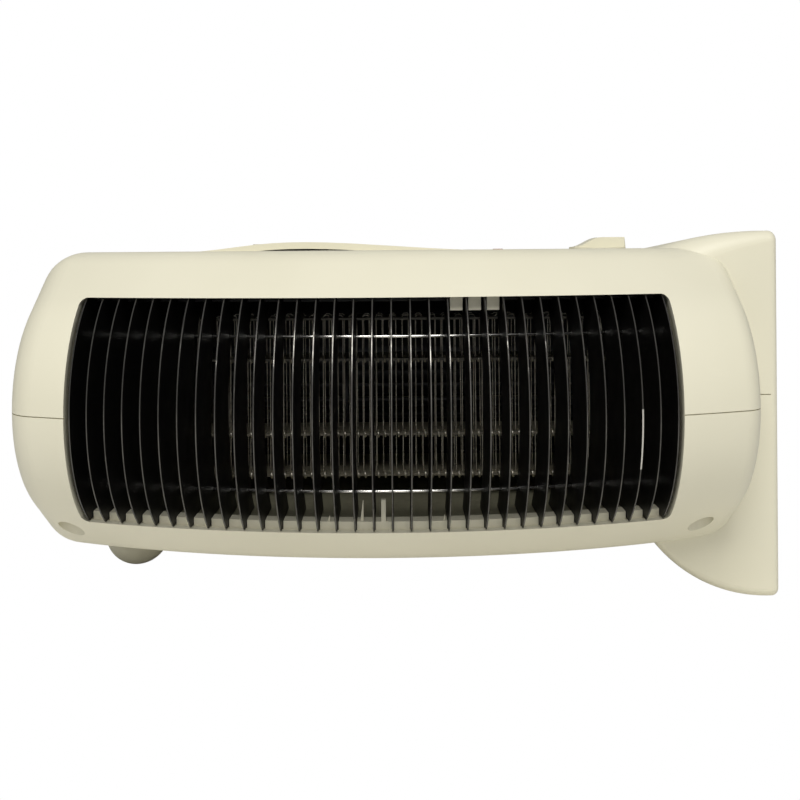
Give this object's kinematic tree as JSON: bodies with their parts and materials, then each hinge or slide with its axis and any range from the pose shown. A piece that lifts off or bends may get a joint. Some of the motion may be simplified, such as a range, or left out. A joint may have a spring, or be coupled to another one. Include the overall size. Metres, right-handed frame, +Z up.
{
  "type": "fan heater",
  "caption": "Portable fan heater lying on its side: bowed finned outlet in a rounded two-part plastic case, flared base at one end, rotary controls on top.",
  "frame": {"origin": "on the floor, at the middle of the object's bounding box seen from above", "axes": "+Z up, +X along the body towards the flared base, -Y out of the finned outlet"},
  "size_m": [0.274, 0.1592, 0.1354],
  "materials": {
    "cream_plastic": "fine matt moulded plastic",
    "fin_steel": "dark glossy enamel",
    "side_sheet": "grey-brown enamel",
    "rod_steel": "plated wire",
    "duct_sheet": "bright rolled sheet",
    "plain_sheet": "zinc coated",
    "dark_sheet": "dull black",
    "mica": "mica board",
    "heating_wire": "oxidised resistance wire",
    "wheel_plastic": "dark moulded plastic",
    "dark_plastic": "dark moulded plastic",
    "block_plastic": "pale moulded plastic",
    "shaft_steel": "turned steel",
    "motor_iron": "stacked laminations",
    "copper": "enamelled copper wire",
    "bearing_bronze": "sintered bronze",
    "rubber_black": "black rubber",
    "pad_rubber": "grey rubber",
    "lens_amber": "clear amber",
    "lead_sheath": "insulated wire"
  },
  "bodies": {
    "case": {"base_pads": "pad_rubber", "base_plate": "cream_plastic", "base_screws": "shaft_steel", "bearing_mount": "rubber_black", "cord_gland": "rubber_black", "duct_floor": "duct_sheet", "duct_roof": "dark_sheet", "element_boards": "mica", "element_ends": "mica", "element_wire": "heating_wire", "far_bush": "bearing_bronze", "grille_fins": "fin_steel", "grille_rods": "rod_steel", "grille_side_plates": "side_sheet", "indicator_lamp": "dark_plastic", "indicator_lens": "lens_amber", "leads": "lead_sheath", "left_cheek": "plain_sheet", "lower_comb": "cream_plastic", "lower_shell": "cream_plastic", "motor_baffle": "dark_sheet", "motor_bobbin": "block_plastic", "motor_bushes": "bearing_bronze", "motor_front_bracket": "plain_sheet", "motor_rear_bracket": "plain_sheet", "motor_screws": "shaft_steel", "motor_stack": "motor_iron", "motor_winding": "copper", "rear_grille": "cream_plastic", "resting_foot": "cream_plastic", "right_cheek": "plain_sheet", "selector_switch": "dark_plastic", "shell_screws": "shaft_steel", "terminal_block": "block_plastic", "thermal_cutout": "dark_plastic", "thermostat_body": "dark_plastic", "upper_comb": "cream_plastic", "upper_shell": "cream_plastic"},
    "blower": {"fan_wheel": "wheel_plastic", "stub_shaft": "shaft_steel", "motor_shaft": "shaft_steel", "motor_rotor": "motor_iron"},
    "selector": {"selector_knob": "cream_plastic", "selector_spindle": "shaft_steel"},
    "thermostat": {"thermostat_dial": "cream_plastic", "thermostat_spindle": "shaft_steel"}
  },
  "joints": [
    {"name": "blower_spin", "type": "hinge", "parent": "case", "child": "blower", "pos_m": [0, 0.0376, 0.0694], "axis": [1, 0, 0], "continuous": true},
    {"name": "selector_turn", "type": "hinge", "parent": "case", "child": "selector", "pos_m": [0.0791, 0.0296, 0.129], "axis": [0, 0, 1], "range_deg": [0, 135]},
    {"name": "thermostat_turn", "type": "hinge", "parent": "case", "child": "thermostat", "pos_m": [-0.051, 0.0296, 0.131], "axis": [0, 0, 1], "range_deg": [0, 270]}
  ]
}
